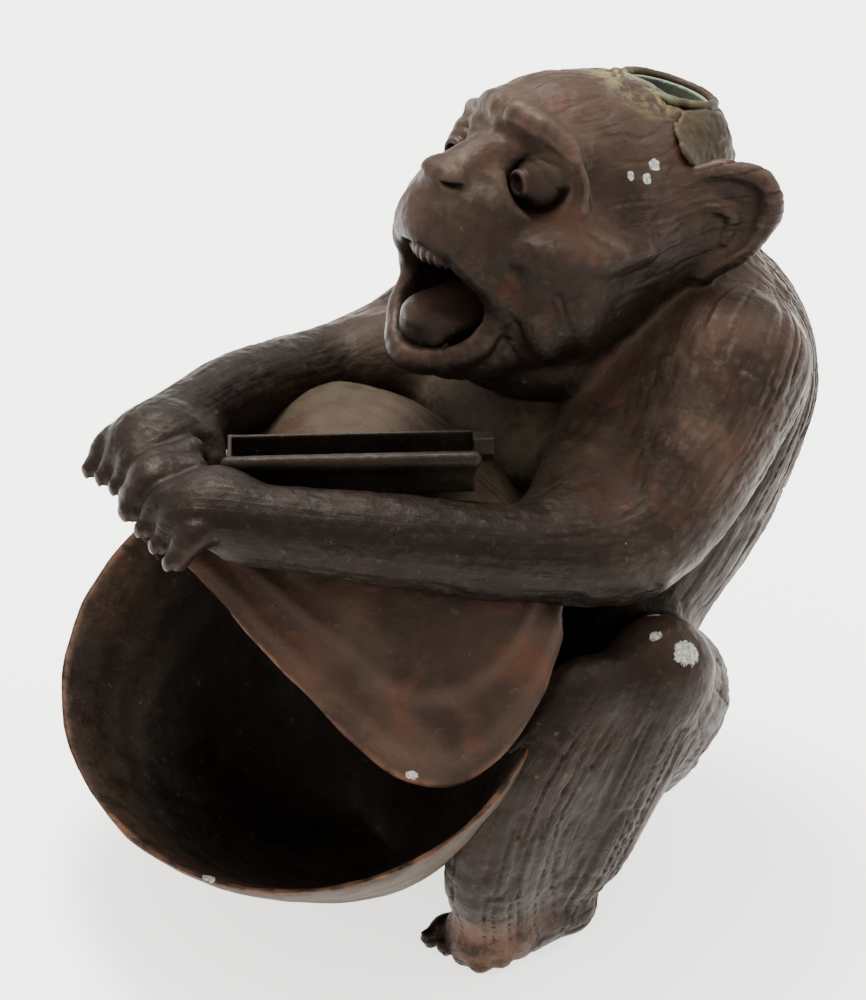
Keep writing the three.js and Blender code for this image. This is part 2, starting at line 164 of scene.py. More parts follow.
class Limb:
    """A rounded body along a curve, wide by deep across it; side is the way that wide is measured."""

    def __init__(self, points, wide, deep=None, side=SIDE, k=3.0, cut=False, per_span=4):
        self.line, self.place = curve_points(points, per_span)
        self.wide = eased(wide, self.place)
        self.deep = eased(deep, self.place) if deep is not None else self.wide
        self.side, self.k, self.cut = side, k, cut
        reach = np.maximum(self.wide, self.deep).max()
        self.low, self.high = self.line.min(0) - reach, self.line.max(0) + reach

    def spans(self, p):
        """Each straight span: its number, its ends, the share along it, and its two unit axes."""
        for i in range(len(self.line) - 1):
            a, b = self.line[i], self.line[i + 1]
            ahead = (b - a) / np.linalg.norm(b - a)
            side = self.side - ahead * (self.side @ ahead)
            yield i, a, b, span_share(p, a, b), ahead, side / np.linalg.norm(side)

    def measure(self, p):
        """Distance to the surface, the share of the length and the angle round it."""
        best, along, angle = np.full(len(p), 1e9), np.zeros(len(p)), np.zeros(len(p))
        for i, a, b, t, ahead, side in self.spans(p):
            w, d, place = (v[i] * (1 - t) + v[i + 1] * t for v in (self.wide, self.deep, self.place))
            off = p - (a + t[:, None] * (b - a))
            x = off @ side
            rest = np.sqrt(np.maximum((off * off).sum(1) - x * x, 0))
            k0 = np.sqrt((x / w) ** 2 + (rest / d) ** 2)
            k1 = np.sqrt((x / w ** 2) ** 2 + (rest / d ** 2) ** 2)
            distance = k0 * (k0 - 1) / np.maximum(k1, 1e-9)
            near = distance < best
            best[near], along[near] = distance[near], place[near]
            angle[near] = np.arctan2(off @ np.cross(side, ahead), x)[near]
        return best, along, angle

    def distance(self, p):
        """The same distance by a shorter way, which a round limb shortens again."""
        best = np.full(len(p), 1e9)
        for i, a, b, t, _, side in self.spans(p):
            w, d = (v[i] + (v[i + 1] - v[i]) * t for v in (self.wide, self.deep))
            off = p - a - t[:, None] * (b - a)
            square = np.einsum("ij,ij->i", off, off)
            if self.wide is self.deep:
                best = np.minimum(best, np.sqrt(square) - w)
                continue
            x_square = (off @ side) ** 2
            rest = np.maximum(square - x_square, 0)
            k0 = np.sqrt(x_square / w ** 2 + rest / d ** 2)
            k1 = np.sqrt(x_square / w ** 4 + rest / d ** 4)
            best = np.minimum(best, k0 * (k0 - 1) / np.maximum(k1, 1e-9))
        return best


class Ring:
    """A torus about an axis."""

    cut = False

    def __init__(self, centre, axis, radius, tube, k=1.5):
        self.centre, self.radius, self.tube, self.k = np.array(centre, float), radius, tube, k
        self.axis = unit(axis)
        reach = radius + tube
        self.low, self.high = self.centre - reach, self.centre + reach

    def distance(self, p):
        off = p - self.centre
        height = off @ self.axis
        flat = off - height[:, None] * self.axis
        return np.hypot(np.linalg.norm(flat, axis=1) - self.radius, height) - self.tube


class Slab:
    """A box with rounded edges."""

    edge, k, cut = 0.2, 0.3, False

    def __init__(self, low, high):
        self.low, self.high = np.array(low, float), np.array(high, float)

    def distance(self, p):
        middle, half = (self.low + self.high) / 2, (self.high - self.low) / 2 - self.edge
        q = np.abs(p - middle) - half
        return np.linalg.norm(np.maximum(q, 0), axis=1) + np.minimum(q.max(1), 0) - self.edge


class Drum:
    """A turned body about an axis: outline gives the radius at each height along it."""

    def __init__(self, centre, axis, heights, radii, edge=0.4, k=1.0, cut=False):
        self.centre, self.axis = np.array(centre, float), unit(axis)
        self.heights, self.radii, self.edge, self.k, self.cut = heights, radii, edge, k, cut
        reach = max(max(radii), max(abs(h) for h in heights)) + 1
        self.low, self.high = self.centre - reach, self.centre + reach

    def distance(self, p):
        off = p - self.centre
        h = off @ self.axis
        r = np.linalg.norm(off - h[:, None] * self.axis, axis=1)
        d_r = r - (np.interp(h, self.heights, self.radii) - self.edge)
        d_h = np.maximum(self.heights[0] + self.edge - h, h - self.heights[-1] + self.edge)
        inside = np.minimum(np.maximum(d_r, d_h), 0)
        return inside + np.hypot(np.maximum(d_r, 0), np.maximum(d_h, 0)) - self.edge


def mirror_form(form):
    """The same form on the other side of the figure."""
    flip = np.array([-1.0, 1.0, 1.0])
    made = []
    for part in form:
        twin = copy.copy(part)
        twin.low = np.array([-part.high[0], part.low[1], part.low[2]])
        twin.high = np.array([-part.low[0], part.high[1], part.high[2]])
        if hasattr(part, "centre"):
            twin.centre = part.centre * flip
        if isinstance(part, Ball):
            twin.turn = np.diag(flip) @ part.turn
        if isinstance(part, Limb):
            twin.line = part.line * flip
        if hasattr(part, "axis"):
            twin.axis = part.axis * flip
        made.append(twin)
    return made


def form_distance(form, p):
    d = np.full(len(p), FAR)
    for part in form:
        near = ((p > part.low - 9) & (p < part.high + 9)).all(1)
        if not near.any():
            continue
        q = part.distance(p[near])
        if part.cut:
            d[near] = -smooth_min(-d[near], q, part.k)
        else:
            d[near] = smooth_min(d[near], q, part.k)
    return d


# ---- turning a distance field into a mesh ----
BLOCK = 4  # grid steps across the coarse blocks that are looked at first
BATCH = 400000  # grid points measured at a time
# How near a block's middle must be to the surface: half its diagonal, and room for distances that a
# squashed form gives too long.
HALF_DIAGONAL, SLACK, SPARE = 0.87, 1.25, 0.8


def sampled(field, axes, count, step):
    """The field on the grid: at every point near the surface, and only its sign further off."""
    centres = [axis[0] + (np.arange((len(axis) - 1) // BLOCK) + 0.5) * BLOCK * step for axis in axes]
    grid = np.stack(np.meshgrid(*centres, indexing="ij"), -1)
    rough = field(grid.reshape(-1, 3)).reshape(grid.shape[:3])
    f = np.ones(count, np.float32)
    signs = np.where(rough > 0, 1.0, -1.0).astype(np.float32)
    f[:-1, :-1, :-1] = signs.repeat(BLOCK, 0).repeat(BLOCK, 1).repeat(BLOCK, 2)
    mask = np.zeros(count, bool)
    for near in np.argwhere(np.abs(rough) < BLOCK * step * HALF_DIAGONAL * SLACK + SPARE):
        mask[tuple(slice(n * BLOCK, (n + 1) * BLOCK + 1) for n in near)] = True
    where = np.argwhere(mask)
    points = np.stack([axes[i][where[:, i]] for i in range(3)], -1)
    for start in range(0, len(points), BATCH):
        part = slice(start, start + BATCH)
        f[tuple(where[part].T)] = field(points[part])
    f[f == 0] = 1e-6
    return f


def crossing_points(f, cells):
    """For each cell, the mean of the points where its edges cross the surface, in the cell's frame."""
    total, hits = np.zeros((len(cells), 3)), np.zeros(len(cells))
    for a in CORNERS:
        for axis in np.flatnonzero(a == 0):
            b = a.copy()
            b[axis] = 1
            f_a, f_b = f[tuple((cells + a).T)], f[tuple((cells + b).T)]
            cross = (f_a < 0) != (f_b < 0)
            t = f_a[cross] / (f_a[cross] - f_b[cross])
            total[cross] += a + t[:, None] * (b - a)
            hits[cross] += 1
    return total / hits[:, None]


def surface_net(field, low, high, step):
    """Closed quad mesh of field < 0 between low and high. The grid is the same for every piece, so
    that neighbours which share a surface share its points."""
    first = np.floor(np.asarray(low) / step).astype(int) - 2
    count = np.ceil(np.asarray(high) / step).astype(int) + 3 - first
    count = (count + BLOCK - 1) // BLOCK * BLOCK + 1
    f = sampled(field, [(first[i] + np.arange(count[i])) * step for i in range(3)], count, step)
    inside = f < 0
    crossing = np.zeros(tuple(count - 1), np.int8)
    for corner in CORNERS:
        crossing += inside[tuple(slice(corner[i], count[i] - 1 + corner[i]) for i in range(3))]
    cells = np.argwhere((crossing > 0) & (crossing < 8))
    index = np.full(tuple(count - 1), -1, np.int64)
    index[tuple(cells.T)] = np.arange(len(cells))
    quads = []
    for axis in range(3):
        step_u, step_v = np.roll(np.eye(3, dtype=int), -axis - 1, axis=0)[:2]
        one, two = [slice(1, -1)] * 3, [slice(1, -1)] * 3
        one[axis], two[axis] = slice(0, -1), slice(1, None)
        here = inside[tuple(one)]
        changed = here != inside[tuple(two)]
        at = np.argwhere(changed) + step_u + step_v
        ring = [at - step_u - step_v, at - step_v, at, at - step_u]
        quad = np.stack([index[tuple(c.T)] for c in ring], -1)
        out = here[changed]
        quad[~out] = quad[~out][:, ::-1]
        quads.append(quad)
    return (first + cells + crossing_points(f, cells)) * step, np.vstack(quads)


def gathered(index, rows, count):
    """The sum of the rows that belong to each of count points."""
    return np.stack([np.bincount(index, column, count) for column in rows.T], -1)


def mesh_normals(verts, faces):
    across = np.cross(verts[faces[:, 2]] - verts[faces[:, 0]], verts[faces[:, 3]] - verts[faces[:, 1]])
    total = sum(gathered(corner, across, len(verts)) for corner in faces.T)
    return total / np.maximum(np.linalg.norm(total, axis=1), 1e-9)[:, None]


def settled(field, verts, faces, step):
    """Moves each point along its normal onto the surface; returns the points and the normals."""
    normals = mesh_normals(verts, faces)
    verts = verts - normals * np.clip(field(verts), -0.25 * step, 0.25 * step)[:, None]
    return verts, mesh_normals(verts, faces)


def make_mesh(name, verts, faces, layers=None):
    """A mesh object in metres. faces is an array of quads, or a list of arrays of equal-sided faces."""
    kinds = faces if isinstance(faces, list) else [faces]
    corners = np.concatenate([kind.ravel() for kind in kinds])
    sizes = np.concatenate([np.full(len(kind), kind.shape[1]) for kind in kinds])
    mesh = bpy.data.meshes.new(name)
    mesh.vertices.add(len(verts))
    mesh.loops.add(len(corners))
    mesh.polygons.add(len(sizes))
    for rows, key, values in ((mesh.vertices, "co", to_metres(verts).astype(np.float32).ravel()),
                              (mesh.loops, "vertex_index", corners.astype(np.int32)),
                              (mesh.polygons, "loop_start", (np.cumsum(sizes) - sizes).astype(np.int32)),
                              (mesh.polygons, "loop_total", sizes.astype(np.int32)),
                              (mesh.polygons, "use_smooth", np.ones(len(sizes), bool))):
        rows.foreach_set(key, values)
    mesh.update(calc_edges=True)
    for layer, values in (layers or {}).items():
        attribute = mesh.attributes.new(layer, "FLOAT", "POINT")
        attribute.data.foreach_set("value", np.asarray(values, np.float32))
    piece = bpy.data.objects.new(name, mesh)
    bpy.context.scene.collection.objects.link(piece)
    return piece


def relief(verts, faces, normals, passes=6):
    """How far each point stands above (+) or lies below (-) its surroundings, in units."""
    edges = np.vstack([faces[:, [i, (i + 1) % faces.shape[1]]] for i in range(faces.shape[1])])
    degree = np.bincount(edges.ravel(), minlength=len(verts))
    soft = verts
    for _ in range(passes):
        total = sum(gathered(edges[:, i], soft[edges[:, 1 - i]], len(verts)) for i in (0, 1))
        soft = total / np.maximum(degree, 1)[:, None]
    return ((verts - soft) * normals).sum(1)


# ---- the two valves ----
BOWL_HALF_WIDTH, BOWL_HALF_DEPTH, BOWL_TILT = 60.8, 46.3, 0.468
BOWL_Y, BOWL_Z, FLOOR_Y, FLOOR_Z = -16.7, 50.8, 2.0, -1.2
DOME_CURVE = 2.6
DOME_Y, DOME_Z, DOME_FLOOR_Z = 4.0, 96.6, 76.0
SHELL_WALL = 2.2
MARGIN_LEFT = [(0, 27, 80), (30, 23, 78), (49, 11, 74), (56.5, -3, 63), (55, -14, 55.5), (46, -22, 53.5),
               (35, -28, 60), (22, -37.5, 75), (10, -44.5, 87), (0, -46.5, 91)]


def margin_table():
    """The upper valve's margin as angle about the dome's axis, reach and height."""
    right = [(-x, y, z) for x, y, z in MARGIN_LEFT[1:-1][::-1]]
    ring = MARGIN_LEFT + right
    line, _ = curve_points(ring[-3:] + ring + ring[:3], 24)
    angle = np.arctan2(line[:, 1] - DOME_Y, line[:, 0])
    reach = np.hypot(line[:, 0], line[:, 1] - DOME_Y)
    order = np.argsort(angle)
    angle, keep = np.unique(np.round(angle[order], 5), return_index=True)
    return angle, reach[order][keep], line[order][keep, 2]


MARGIN_ANGLE, MARGIN_REACH, MARGIN_HEIGHT = margin_table()


def margin(angle):
    wrapped = (angle + math.pi) % (2 * math.pi) - math.pi
    return (np.interp(wrapped, MARGIN_ANGLE, MARGIN_REACH, period=2 * math.pi),
            np.interp(wrapped, MARGIN_ANGLE, MARGIN_HEIGHT, period=2 * math.pi))


def dome_room(p, inset):
    """Distance to the space under the upper valve's outer face, taken in by inset."""
    x, y = p[:, 0], p[:, 1] - DOME_Y
    reach, edge_z = margin(np.arctan2(y, x))
    reach = reach - inset
    share = np.hypot(x, y) / reach
    top = DOME_Z - inset + (edge_z - DOME_Z) * np.minimum(share, 1.3) ** DOME_CURVE
    slope = np.abs(edge_z - DOME_Z) * DOME_CURVE * np.minimum(share, 1.3) ** (DOME_CURVE - 1) / reach
    floor = DOME_FLOOR_Z - 1 + (edge_z - DOME_FLOOR_Z) * share
    above = (p[:, 2] - top) / np.hypot(1, slope)
    return np.maximum(np.maximum(above, (floor - p[:, 2]) * 0.8), (share - 1) * reach * 0.8)


def bowl_room(p, inset):
    """Distance to the space inside the lower valve's outer face, taken in by inset."""
    half_w, half_d = BOWL_HALF_WIDTH - inset, (BOWL_HALF_DEPTH - inset) * math.cos(BOWL_TILT)
    x, y = p[:, 0], p[:, 1] - FLOOR_Y
    shift = FLOOR_Y - BOWL_Y
    a = (x / half_w) ** 2 + (y / half_d) ** 2 + 1e-9
    b = 2 * y * shift / half_d ** 2
    c = (shift / half_d) ** 2 - 1
    share = 2 * a / (-b + np.sqrt(b * b - 4 * a * c))
    reach = np.hypot(x, y) / np.maximum(share, 1e-6)
    rim_y = y / np.maximum(share, 1e-6) + FLOOR_Y
    rim_z = BOWL_Z + (rim_y - BOWL_Y) * math.tan(BOWL_TILT)
    near = np.minimum(share, 1.3)
    s = near ** (1 / 0.95)
    floor = FLOOR_Z + inset
    wall = floor + (rim_z - floor) * s ** 1.5
    slope = (rim_z - floor) * 1.5 * np.sqrt(s) / 0.95 / np.maximum(reach, 1)
    lid = BOWL_Z + (p[:, 1] - BOWL_Y) * math.tan(BOWL_TILT)
    outside = np.maximum((wall - p[:, 2]) / np.hypot(1, slope), (p[:, 2] - lid) * math.cos(BOWL_TILT))
    return np.maximum(outside, (share - 1) * reach * 0.8)


# ---- the monkey's forms ----
TORSO_SPINE = Limb([(0, 26, 4), (0, 33, 28), (0, 44, 52), (0, 59, 74), (0, 68.5, 92), (0, 67, 107),
                    (0, 61, 118)],
                   [26, 31, 32, 34, 34, 26, 16], [19, 24, 26, 27, 25, 18, 12], k=4)
TORSO = [TORSO_SPINE,
         Ball((20, 70, 101), (13, 11, 14), k=7), Ball((-20, 70, 101), (13, 11, 14), k=7),
         Ball((0, 33, 86), (30, 16, 13), (0.5, 0, 0), k=8)]
HOLLOW = [Limb([(0, 28, -10), (0, 34, 28), (0, 45, 52), (0, 60, 74), (0, 67, 92)],
               [17, 23, 25, 26, 22], [13, 17, 19, 19, 15])]

# The head is turned a little to the monkey's left, and tipped a little to its right.
FACE_TURN = (0, -0.035, 0.09)
FACE_PIVOT = np.array([0, 48, 130])


class Placed:
    """A form drawn in a frame of its own, then turned and moved to where it sits."""

    def __init__(self, part, turn, shift, origin):
        self.part, self.k, self.cut = part, part.k, part.cut
        self.turn, self.shift, self.origin = turn_matrix(turn), shift, origin
        corners = (np.where(CORNERS, part.high, part.low) - origin) @ self.turn.T + shift
        self.low, self.high = corners.min(0), corners.max(0)

    def distance(self, p):
        return self.part.distance((p - self.shift) @ self.turn + self.origin)


def on_face(form):
    return [Placed(part, FACE_TURN, FACE_PIVOT, FACE_PIVOT) for part in form]


def both_sides(form):
    return form + mirror_form(form)


SKULL = [Ball((0, 48, 130), (23.5, 25, 25.5)),
         Ball((0, 40.5, 140.5), (17, 13.5, 16), k=4),
         Limb([(0, 42, 118), (0, 52, 104)], [19, 20], k=4)]
MUZZLE = [
    Ball((0, 23.3, 139), (12.6, 16.6, 9.4), (0.2, 0, 0), k=5),
    Ball((0.5, 38, 146.4), (11, 10, 10), k=5),
    Ball((0, 27, 111), (13.5, 15, 9), (-0.2, 0, 0), k=4),
    Ball((0, 34, 107), (18, 15, 9), k=4),
    # the jaw, and the rolled lip that runs round the open mouth
    Limb([(-13, 28, 120), (-9.8, 17, 113.5), (0, 12, 111), (9.8, 17, 113.5), (13, 28, 120)],
         [7, 4.2, 3.8, 4.2, 7], side=UP, k=2.5),
    Limb([(-12.5, 18, 123), (-10.5, 12.5, 116), (0, 5.5, 112.5), (10.5, 12.5, 116), (12.5, 18, 123)],
         [2, 2.7, 2.7, 2.7, 2], side=UP, k=1.2, per_span=8),
    # nose: a low bridge that widens into a blunt pad
    Limb([(0, 31, 149), (0, 22, 148), (0, 14.5, 146.5)],
         [3.4, 3, 3.6], [2.4, 2.2, 2.2], k=4, per_span=8)]
# Brow knobs and the ridges that run back from them.
BROWS = [
    Limb([(3.6, 30.2, 154.1), (7.6, 29.8, 153.2), (11.4, 32.2, 151), (13.4, 35.5, 149.5)],
         [2.2, 2.6, 2.1, 1.2], k=5, per_span=8),
    Limb([(-2.6, 31.6, 153.6), (-6.5, 32.2, 152.4), (-10.5, 34.5, 149.4)],
         [2, 2.1, 1.5], k=5, per_span=8)]
CHEEK = [
    Ball((13.5, 33, 125), (10, 14, 15), k=5),
    # cheek bone
    Limb([(12, 18, 134), (16.5, 24.5, 133), (20.5, 32, 132), (22.5, 42, 131)], [1.2, 2, 2, 1],
         k=5, per_span=8),
    # eye socket, sunk before the eyeball is set in, with a fold round it
    Ball((10.8, 27.4, 144.2), (5.5, 4.7, 5.5), (0, 0, 0.3), k=2.4, cut=True),
    Ring((10.8, 28.2, 143.6), (0.5, -0.82, 0.28), 6.3, 0.7, k=2.2),
    Ring((11, 28.4, 142.6), (0.5, -0.82, 0.28), 8.6, 0.5, k=2.5),
    # nostril
    Ball((3, 14.9, 146.9), (1.6, 1.8, 1.2), k=2.2),
    Ball((3.9, 13.8, 145.8), (2.1, 1.5, 0.5), (0, 0.2, 0.35), k=0.7, cut=True),
    # folds of the jowl
    Limb([(15.5, 17, 124), (18, 19, 118), (19, 23, 113)], [0.8, 1.1, 0.6], k=1.8, cut=True, per_span=8),
    Limb([(21, 24, 126), (22.6, 25.5, 120), (22, 28, 114)],
         [0.4, 0.8, 0.4], k=2.6, cut=True, per_span=8),
    Ball((18.6, 22, 119), (2.6, 2.6, 4.6), (0.3, 0, 0), k=4),
    Ball((21.4, 29, 121), (2.4, 3, 4.8), (0.2, 0, 0), k=4)]
MOUTH = [Ball((0, 12.2, 121.4), (10.6, 16.2, 7.6), (-0.3, 0, 0), k=1.2, cut=True),
         Ball((0, 10, 127.2), (7.4, 14, 7), (-0.3, 0, 0), k=1.2, cut=True)]
# the upper lip, which hangs down to the corners of the mouth
LIP = [Limb([(13.4, 20.5, 121), (12.4, 16.8, 126.5), (9.6, 13.8, 131.5), (6.5, 12.5, 134.5)],
            [1.8, 2.7, 3, 2.6], side=UP, k=4)]
EYE = np.array([9.8, 29.2, 144])
EYELID = [Ball(EYE + [0.6, 1.9, 1.7], (5, 4.9, 4.4), k=0.8)]
LEFT_EYEBALL = [Ball(EYE, (4.8, 4.8, 4.8)),
                Ring(EYE + [-0.5, -4.5, 0.6], (-0.05, -0.98, 0.14), 1.95, 0.68, k=0.7),
                Ball(EYE + [-0.5, -5.2, 0.6], (1.35, 2.4, 1.35), k=0.4, cut=True)]
LEFT_EYE, RIGHT_EYE = on_face(LEFT_EYEBALL), on_face(mirror_form(LEFT_EYEBALL))
TONGUE = on_face([Limb([(0, 30, 117), (0, 20, 119), (0, 9.5, 116.5)], [6.4, 7.4, 6], [2.8, 3.6, 3.2]),
                  Ball((0, 14.5, 118.2), (7.4, 8.6, 4.2), (-0.25, 0, 0), k=2)])


def teeth():
    """Two short rows of blunt teeth, upper and lower, standing just inside the lips."""
    made = []
    for i in range(-4, 5):
        a = i * 0.21
        upper = (8.2 * math.sin(a), 17.2 - 7.0 * math.cos(a), 132)
        lower = (7.6 * math.sin(a), 14.6 - 7.0 * math.cos(a), 115.4)
        made.append(Ball(upper, (0.95, 0.8, 1.8), (0, 0, a), k=0.35))
        made.append(Ball(lower, (0.85, 0.8, 1.3), (0, 0, a), k=0.4))
    return made


HEAD = SKULL + on_face(MUZZLE + BROWS + both_sides(CHEEK + LIP) + MOUTH + teeth() + both_sides(EYELID))

LEFT_ARM_LIMB = Limb([(29, 62, 105), (37, 49, 96), (42, 31, 84.5), (38, 10, 86.5), (30, -12, 92.5),
                      (17, -36, 97.5)],
                     [14, 12.5, 10.5, 9, 8.4, 7.2], k=3)


def hand():
    made = [Ball((12, -40, 100.2), (8.4, 9.4, 6.2), (0, 0, 0.35), k=3),
            Ball((9.5, -45, 99.5), (9.4, 5, 4.2), (0, 0, 0.12), k=2)]
    for i, x in enumerate((2.4, 7.4, 12.6, 17.6)):
        drop = i * 0.8
        finger = [(x + 0.8, -38, 102.0 - drop), (x, -47, 101.2 - drop), (x - 0.2, -50, 97.8 - drop)]
        made.append(Limb(finger, [2.3, 2.9, 2.3], k=1.1, per_span=6))
        made.append(Ball((x, -46.2, 102.8 - drop), (1.8, 1.6, 1.3), k=1.6))
        made.append(Ball((x - 0.2, -52.2, 97.4 - drop), (1.3, 0.6, 1.5), k=0.3))
    return made


LEFT_ARM = [LEFT_ARM_LIMB, Limb([(28, 58, 105), (24, 41, 94), (33, 22, 87)], [13, 12, 9], k=6)] + hand()
RIGHT_ARM = mirror_form(LEFT_ARM)
RIGHT_ARM.append(Limb([(-16, -30, 96.5), (-9, -32.5, 97), (-4.2, -34, 96.6)], [4.6, 4.2, 3.4], k=3))
for part in RIGHT_ARM:
    for name in ("centre", "line", "low", "high"):
        if hasattr(part, name):
            setattr(part, name, getattr(part, name) + np.array([0.8, 2.2, 1]))

THIGH = Limb([(25, 42, 30), (40, 38, 47), (50.5, 30.5, 60)], [16, 14, 9.6], k=3)
SHIN = Limb([(52.4, 29, 62.5), (50, 22.5, 46), (45, 18, 25), (41, 15.5, 11)], [8.8, 8.8, 8.4, 6.6],
            [10, 14, 12, 7.4], k=4)
FOOT = Limb([(41, 17, 6.4), (40, 8, 6), (38, -2, 4)], [6.2, 6.6, 6.6], [6, 5.8, 4.2], k=4)


def toes():
    made = []
    for i, x in enumerate((32.5, 36.4, 40.2, 44)):
        tip_y = -7 + i * 1.1
        toe = [(x + 1, 0, 3.4), (x - 0.2, tip_y + 3.5, 4), (x - 0.6, tip_y, 2.4)]
        made.append(Limb(toe, [2.1, 2.4, 1.9], k=0.8))
        made.append(Ball((x - 0.6, tip_y - 1.5, 3.1), (1.1, 0.7, 1.2), k=0.3))
    return made


CALF = Limb([(52, 13, 61), (50.5, 3, 47), (46, 0, 29), (41, 3, 11)],
            [6.5, 7.5, 8, 7.5], [9.5, 12.5, 12, 9.5], k=6)
LEFT_LEG = [THIGH, SHIN, FOOT, CALF] + toes()
RIGHT_LEG = mirror_form(LEFT_LEG)

EAR_FORM = [
    Limb([(19, 55, 130.5), (24.5, 61, 133), (29.5, 67.5, 135.5)], [10.5, 10, 5], [1.6, 1.3, 1.2],
         side=UP, per_span=6),
    Limb([(19.5, 54.5, 140), (24.5, 60.5, 142), (28.6, 65.8, 139.6), (30, 66.8, 134.8),
          (27.4, 63.4, 127), (22, 57.5, 121)], [1.2, 1.6, 2, 2.3, 2.3, 1.8], k=1.5, per_span=8),
    Ball((26, 58.8, 132.5), (5.5, 1.8, 6.5), (0, 0, 0.877), k=1.2, cut=True),
    Ball((20, 56, 130), (3.5, 3.5, 9), k=3),
    Limb([(23, 57.5, 135.5), (25.6, 61.3, 133), (24.6, 60.3, 128)],
         [0.9, 1.1, 0.8], k=1.5, per_span=6)]
LEFT_EAR = on_face(EAR_FORM)
RIGHT_EAR = on_face(mirror_form(EAR_FORM))

# Each casting's form, the width of its blend with its neighbours and the step of its mesh.
GROUPS = {"torso_casting": (TORSO, 7, 0.55), "head_casting": (HEAD, 3.5, 0.4),
          "left_arm": (LEFT_ARM, 5, 0.5), "right_arm": (RIGHT_ARM, 5, 0.5),
          "left_leg": (LEFT_LEG, 6, 0.5), "right_leg": (RIGHT_LEG, 6, 0.5),
          "left_ear": (LEFT_EAR, 2, 0.4), "right_ear": (RIGHT_EAR, 2, 0.4)}


def group_distances(p):
    return {name: form_distance(form, p) for name, (form, _, _) in GROUPS.items()}


def body_distance(p, known=None):
    known = known or group_distances(p)
    d = np.full(len(p), FAR)
    for name, (_, k, _) in GROUPS.items():
        d = smooth_min(d, known[name], k)
    return d


def hollows(p):
    """What is taken out of the body: the valves' rooms and the space below the table."""
    d = np.minimum(bowl_room(p, 1.1), dome_room(p, 1.1))
    return np.minimum(d, p[:, 2] - 0.05)


def piece_field(name):
    def field(p):
        known = group_distances(p)
        body = body_distance(p, known)
        others = np.min([d for other, d in known.items() if other != name], axis=0)
        ahead = (known[name] - others) / 2
        d = np.maximum(body + 0.15 * np.maximum(ahead, 0), ahead - 1.2)
        d = np.maximum(d, -hollows(p))
        if name == "torso_casting":
            d = np.maximum(d, -form_distance(HOLLOW, p))
        return d
    return field


def form_box(form):
    return np.min([part.low for part in form], 0) - 3, np.max([part.high for part in form], 0) + 3


# ---- fur, folds and wear ----
HEAD_MIDDLE = np.array([0, 44, 132])
THIGHS, SHINS, FEET = (THIGH, RIGHT_LEG[0]), (SHIN, RIGHT_LEG[1]), (FOOT, RIGHT_LEG[2])
CALVES = (CALF, RIGHT_LEG[3])


def head_map(p):
    """Hair on the head runs back from the face: position along it and across it."""
    q = p - HEAD_MIDDLE
    polar = np.arctan2(np.hypot(q[:, 0], q[:, 2]), -q[:, 1])
    return form_distance(HEAD, p), polar * 22, np.arctan2(q[:, 0], q[:, 2]) * 20, polar


def limb_map(limb, girth, length):
    def mapped(p):
        distance, along, angle = limb.measure(p)
        return distance, along * length, angle * girth, along
    return mapped


def back_strength(p, along):
    return 0.22 + 0.36 * smooth_step(58, 80, p[:, 1]) * smooth_step(125, 95, p[:, 2])


def head_strength(p, polar):
    return 0.19 * smooth_step(0.95, 1.7, polar) + 0.015


def arm_strength(p, along):
    return 0.13 + 0.15 * smooth_step(0.35, 0, along) - 0.02 * smooth_step(0.85, 1, along)


def leg_strength(p, along):
    return 0.34 * smooth_step(64, 52, p[:, 2]) + 0.05


# map, strength, width of a lock, length of a lock
FUR = [
    (limb_map(TORSO_SPINE, 30, 130), back_strength, 2, 15),
    (head_map, head_strength, 1.5, 8),
    (limb_map(LEFT_ARM_LIMB, 9.5, 125), arm_strength, 1.35, 12),
    (limb_map(RIGHT_ARM[0], 9.5, 125), arm_strength, 1.35, 12)]
FUR += [(limb_map(limb, 13, 38), leg_strength, 2, 13) for limb in THIGHS]
FUR += [(limb_map(limb, 12, 55), leg_strength, 2.1, 16) for limb in SHINS + CALVES]
FUR += [(limb_map(limb, 7.5, 28), leg_strength, 1.6, 9) for limb in FEET]


# Lines of the face in its own frame, on the left side and mirrored: points, height, half width.
CREASES = [
    ([(18.8, 30.9, 139.6), (21.5, 34.7, 136.4), (24, 38.9, 133)], -0.4, 0.8),
    ([(20.5, 30.6, 136.7), (22.6, 32.4, 134.9), (24.1, 35.3, 132.6)], -0.35, 0.7),
    ([(17.5, 22.7, 135.8), (20.1, 25.1, 134.9), (22.2, 28, 133.6), (23.7, 31.4, 131.9),
      (24.2, 35.6, 129.9)], 0.32, 1.3),
    ([(19, 33, 142.3), (19.9, 37, 139.4), (21.7, 40.1, 136.8)], -0.3, 0.7),
    ([(1.5, 28, 155), (4.4, 29.1, 156.4), (8.9, 30, 155.7), (11.9, 31.2, 153.6),
      (14.7, 32.1, 150.8)], 0.85, 1.8),
    ([(2.4, 26.4, 152.2), (6.8, 27.2, 152.6), (10.3, 28.6, 151.4), (12.8, 30.2, 149.2)], -0.8, 1.2),
    ([(1.6, 26, 152.5), (1.2, 29.5, 157)], -0.5, 0.8),
    ([(3.5, 33, 158), (9, 34, 157.6), (14, 36.5, 154)], -0.4, 0.9),
    ([(5.5, 17, 148.5), (7.5, 19, 145), (9.5, 18, 139)], -0.4, 0.9)]


def line_distance(line, p):
    best = np.full(len(p), 1e9)
    for a, b in zip(line[:-1], line[1:]):
        best = np.minimum(best, np.linalg.norm(p - a - span_share(p, a, b)[:, None] * (b - a), axis=1))
    return best


def creases(p):
    """The height of the face's drawn lines at each point."""
    q = (p - FACE_PIVOT) @ turn_matrix(FACE_TURN) + FACE_PIVOT
    q[:, 0] = np.abs(q[:, 0])
    total = np.zeros(len(p))
    for points, height, half_width in CREASES:
        line, _ = curve_points(points, 6)
        total += height * smooth_step(2 * half_width, 0, line_distance(line, q))
    return total * (0.85 + 0.35 * noise(p, 3.2, 51))


